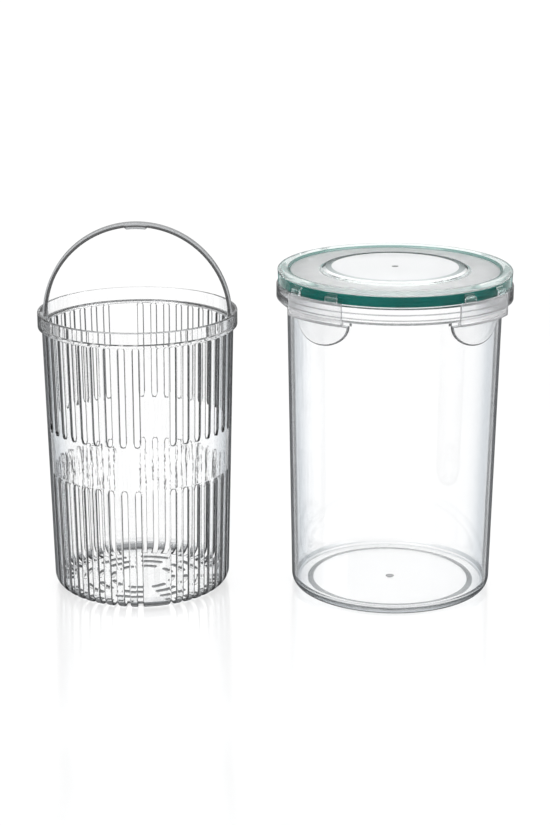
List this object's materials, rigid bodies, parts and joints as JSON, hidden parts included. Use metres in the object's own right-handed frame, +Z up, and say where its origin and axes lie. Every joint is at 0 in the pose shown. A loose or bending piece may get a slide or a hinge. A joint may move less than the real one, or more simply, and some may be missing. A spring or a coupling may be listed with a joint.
{
  "type": "clip-lid storage container",
  "caption": "Round clear plastic storage container whose lid is held by swinging side clips, with its slotted lift-out strainer basket and bail handle standing beside it.",
  "frame": {"origin": "midpoint of the set's plan on the surface that it stands on", "axes": "+X from the basket's upright axis to the container's, +Y away from the viewer, +Z up"},
  "size_m": [0.2438, 0.1212, 0.1931],
  "materials": {
    "clear_plastic": "clear, moulded, glossy",
    "lid_plastic": "clear with a finely frosted ring",
    "teal_silicone": "satin silicone",
    "milky_plastic": "milky, translucent, satin",
    "grey_plastic": "grey, translucent, satin"
  },
  "bodies": {
    "container": {"container": "clear_plastic"},
    "lid": {"lid": "lid_plastic", "seal_ring": "teal_silicone"},
    "clip_front_left": {"clip_front_left": "milky_plastic"},
    "clip_front_right": {"clip_front_right": "milky_plastic"},
    "clip_back_right": {"clip_back_right": "milky_plastic"},
    "clip_back_left": {"clip_back_left": "milky_plastic"},
    "basket": {"strainer_basket": "clear_plastic"},
    "bail": {"bail_handle": "grey_plastic"}
  },
  "joints": [
    {"name": "lid_lift", "type": "slide", "parent": "container", "child": "lid", "axis": [0, 0, 1], "range_m": [0, 0.024]},
    {"name": "clip_front_left_swing", "type": "hinge", "parent": "lid", "child": "clip_front_left", "pos_m": [0.01824, -0.04306, 0.1662], "axis": [-0.7071, 0.7071, 0], "range_deg": [0, 150]},
    {"name": "clip_front_right_swing", "type": "hinge", "parent": "lid", "child": "clip_front_right", "pos_m": [0.10436, -0.04306, 0.1662], "axis": [-0.7071, -0.7071, 0], "range_deg": [0, 150]},
    {"name": "clip_back_right_swing", "type": "hinge", "parent": "lid", "child": "clip_back_right", "pos_m": [0.10436, 0.04306, 0.1662], "axis": [0.7071, -0.7071, 0], "range_deg": [0, 150]},
    {"name": "clip_back_left_swing", "type": "hinge", "parent": "lid", "child": "clip_back_left", "pos_m": [0.01824, 0.04306, 0.1662], "axis": [0.7071, 0.7071, 0], "range_deg": [0, 150]},
    {"name": "basket_lift", "type": "slide", "parent": "container", "child": "basket", "axis": [0, 0, 1], "range_m": [0, 0.175]},
    {"name": "bail_swing", "type": "hinge", "parent": "basket", "child": "bail", "pos_m": [-0.0706, 0, 0.1446], "axis": [1, 0, 0], "range_deg": [-90, 90]}
  ],
  "couplings": [
    {"joint": "clip_front_left_swing", "follows": "lid_lift", "rad_per_m": 109},
    {"joint": "clip_front_right_swing", "follows": "lid_lift", "rad_per_m": 109},
    {"joint": "clip_back_right_swing", "follows": "lid_lift", "rad_per_m": 109},
    {"joint": "clip_back_left_swing", "follows": "lid_lift", "rad_per_m": 109}
  ]
}
